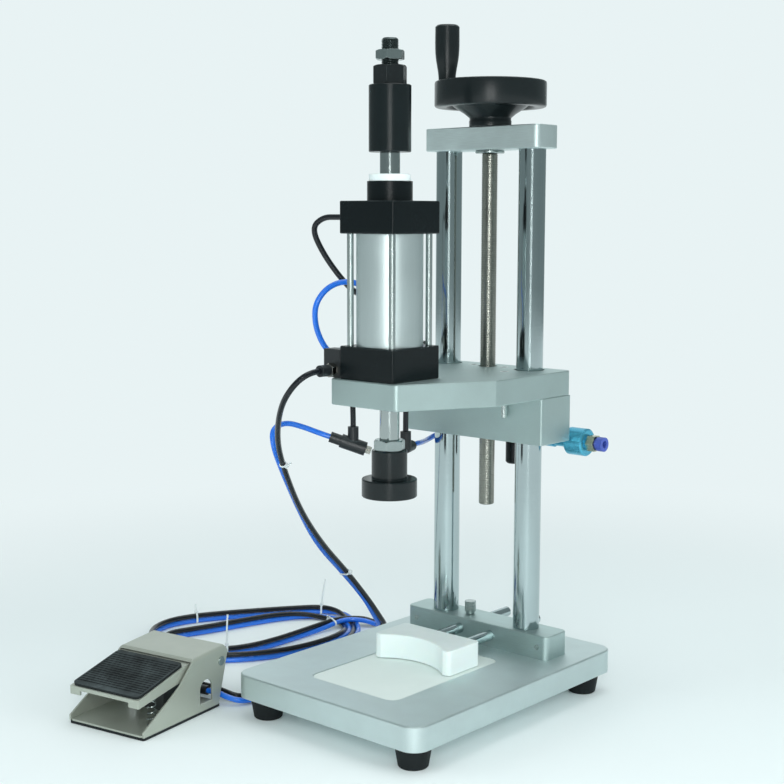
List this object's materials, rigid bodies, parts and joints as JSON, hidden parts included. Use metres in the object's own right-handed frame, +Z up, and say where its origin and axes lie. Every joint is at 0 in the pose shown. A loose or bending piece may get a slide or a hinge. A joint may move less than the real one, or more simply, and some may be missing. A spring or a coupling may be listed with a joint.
{
  "type": "pneumatic cap press",
  "caption": "Bench press on two columns: a crank feeds the cylinder carriage up and down, and a foot pedal on a long hose pair works the press head over a bottle stop.",
  "frame": {"origin": "on the floor, under the middle of the base plate", "axes": "+X along the line of the columns towards the air inlet, +Y to the rear, +Z up"},
  "size_m": [0.5825, 0.4962, 0.7511],
  "materials": {
    "base_aluminium": "satin, brushed",
    "pad_pale": "matte",
    "feet_rubber": "matte",
    "screw_steel": "satin",
    "block_aluminium": "satin, brushed",
    "column_chrome": "polished",
    "bronze": "satin",
    "stop_white": "matte",
    "feed_steel": "oiled, machined",
    "wheel_black": "gloss",
    "carriage_aluminium": "satin, sand-finished",
    "cap_black": "black anodised, satin",
    "barrel_aluminium": "fine satin, anodised",
    "bumper_white": "matte",
    "rod_chrome": "polished",
    "sleeve_black": "black anodised, satin",
    "nut_steel": "zinc plated",
    "nut_black": "black oxide",
    "head_black": "satin, turned",
    "fitting_nickel": "nickel plated",
    "fitting_black": "satin",
    "manifold_dark": "black anodised",
    "slide_blue": "blue anodised",
    "fitting_brass": "satin",
    "release_blue": "satin",
    "mat_rubber": "matte",
    "pedal_metal": "champagne, metallic",
    "pedal_rubber": "matte, ribbed",
    "valve_dark": "satin",
    "hose_black": "gloss",
    "hose_blue": "gloss"
  },
  "bodies": {
    "base": {"base_plate": "base_aluminium", "bottle_pad": "pad_pale", "rubber_feet": "feet_rubber", "frame_screws": "screw_steel", "column_block": "block_aluminium", "columns": "column_chrome", "top_block": "block_aluminium", "screw_bush": "bronze", "pedal_mat": "mat_rubber", "pedal_base": "pedal_metal", "pedal_housing": "pedal_metal", "pedal_pin": "screw_steel", "pedal_spring": "screw_steel", "foot_valve": "valve_dark", "pedal_fittings": "fitting_black", "black_line": "hose_black", "blue_line": "hose_blue", "hose_coil": "hose_blue"},
    "carriage": {"carriage_block": "carriage_aluminium", "carriage_bushes": "bronze", "carriage_plate": "carriage_aluminium", "plate_bolts": "screw_steel", "cylinder_bottom_cap": "cap_black", "cylinder_top_cap": "cap_black", "cylinder_barrel": "barrel_aluminium", "tie_rods": "screw_steel", "bumper_ring": "bumper_white", "valve_body": "barrel_aluminium", "valve_end_caps": "fitting_black", "fitting_hexes": "fitting_nickel", "fitting_collars": "fitting_black", "hose_joints": "fitting_black", "inlet_manifold": "manifold_dark", "slide_valve": "slide_blue", "inlet_fitting": "fitting_brass", "top_hose": "hose_black", "loop_hose": "hose_blue", "supply_hose": "hose_black", "return_hose": "hose_black", "inlet_hose": "hose_blue"},
    "feed_screw": {"lead_screw": "feed_steel", "screw_collar": "screw_steel", "handwheel": "wheel_black", "crank_pin": "screw_steel"},
    "crank": {"crank_handle": "wheel_black"},
    "press_rod": {"piston": "barrel_aluminium", "piston_rod": "rod_chrome", "stop_sleeve": "sleeve_black", "adjusting_nut": "nut_black", "lock_nuts": "nut_steel", "press_head": "head_black"},
    "bottle_stop": {"locating_block": "stop_white", "guide_rods": "column_chrome"},
    "stop_clamp": {"thumb_screw": "screw_steel"},
    "air_sleeve": {"slide_sleeve": "slide_blue"},
    "hose_release": {"release_ring": "release_blue"},
    "flow_screw": {"flow_needle": "fitting_nickel"},
    "pedal": {"pedal_plate": "pedal_metal", "pedal_pad": "pedal_rubber"},
    "valve_plunger": {"foot_plunger": "screw_steel"}
  },
  "joints": [
    {"name": "carriage_slide", "type": "slide", "parent": "base", "child": "carriage", "axis": [0, 0, 1], "range_m": [-0.08, 0.235], "deforming": ["black_line", "blue_line"]},
    {"name": "feed_turn", "type": "hinge", "parent": "base", "child": "feed_screw", "pos_m": [0, 0.101, 0.64], "axis": [0, 0, 1], "range_deg": [-21300, 7300]},
    {"name": "crank_spin", "type": "hinge", "parent": "feed_screw", "child": "crank", "pos_m": [-0.0364, 0.0688, 0.7], "axis": [0, 0, 1], "continuous": true},
    {"name": "press_stroke", "type": "slide", "parent": "carriage", "child": "press_rod", "axis": [0, 0, 1], "range_m": [-0.0223, 0]},
    {"name": "stop_slide", "type": "slide", "parent": "base", "child": "bottle_stop", "axis": [0, 1, 0], "range_m": [-0.045, 0.055]},
    {"name": "clamp_turn", "type": "hinge", "parent": "base", "child": "stop_clamp", "pos_m": [-0.022, 0.101, 0.085], "axis": [0, 0, 1], "range_deg": [0, 720]},
    {"name": "air_sleeve_slide", "type": "slide", "parent": "carriage", "child": "air_sleeve", "axis": [1, 0, 0], "range_m": [-0.012, 0]},
    {"name": "release_push", "type": "slide", "parent": "carriage", "child": "hose_release", "axis": [1, 0, 0], "range_m": [-0.0015, 0], "stiffness_N_per_m": 600, "springref_m": 0.002},
    {"name": "flow_turn", "type": "hinge", "parent": "carriage", "child": "flow_screw", "pos_m": [-0.108, -0.0085, 0.282], "axis": [0.7112, 0.6204, -0.3305], "range_deg": [-720, 720]},
    {"name": "pedal_press", "type": "hinge", "parent": "base", "child": "pedal", "pos_m": [-0.21977, -0.16894, 0.051], "axis": [0.9848, 0.1736, 0], "range_deg": [0, 10], "stiffness_Nm_per_rad": 6, "springref_deg": -11.46, "deforming": ["pedal_spring"]},
    {"name": "plunger_push", "type": "slide", "parent": "base", "child": "valve_plunger", "axis": [0, 0, 1], "range_m": [-0.0068, 0]}
  ],
  "couplings": [
    {"joint": "feed_turn", "follows": "carriage_slide", "rad_per_m": -1570.8},
    {"joint": "plunger_push", "follows": "pedal_press", "m_per_rad": -0.038}
  ]
}
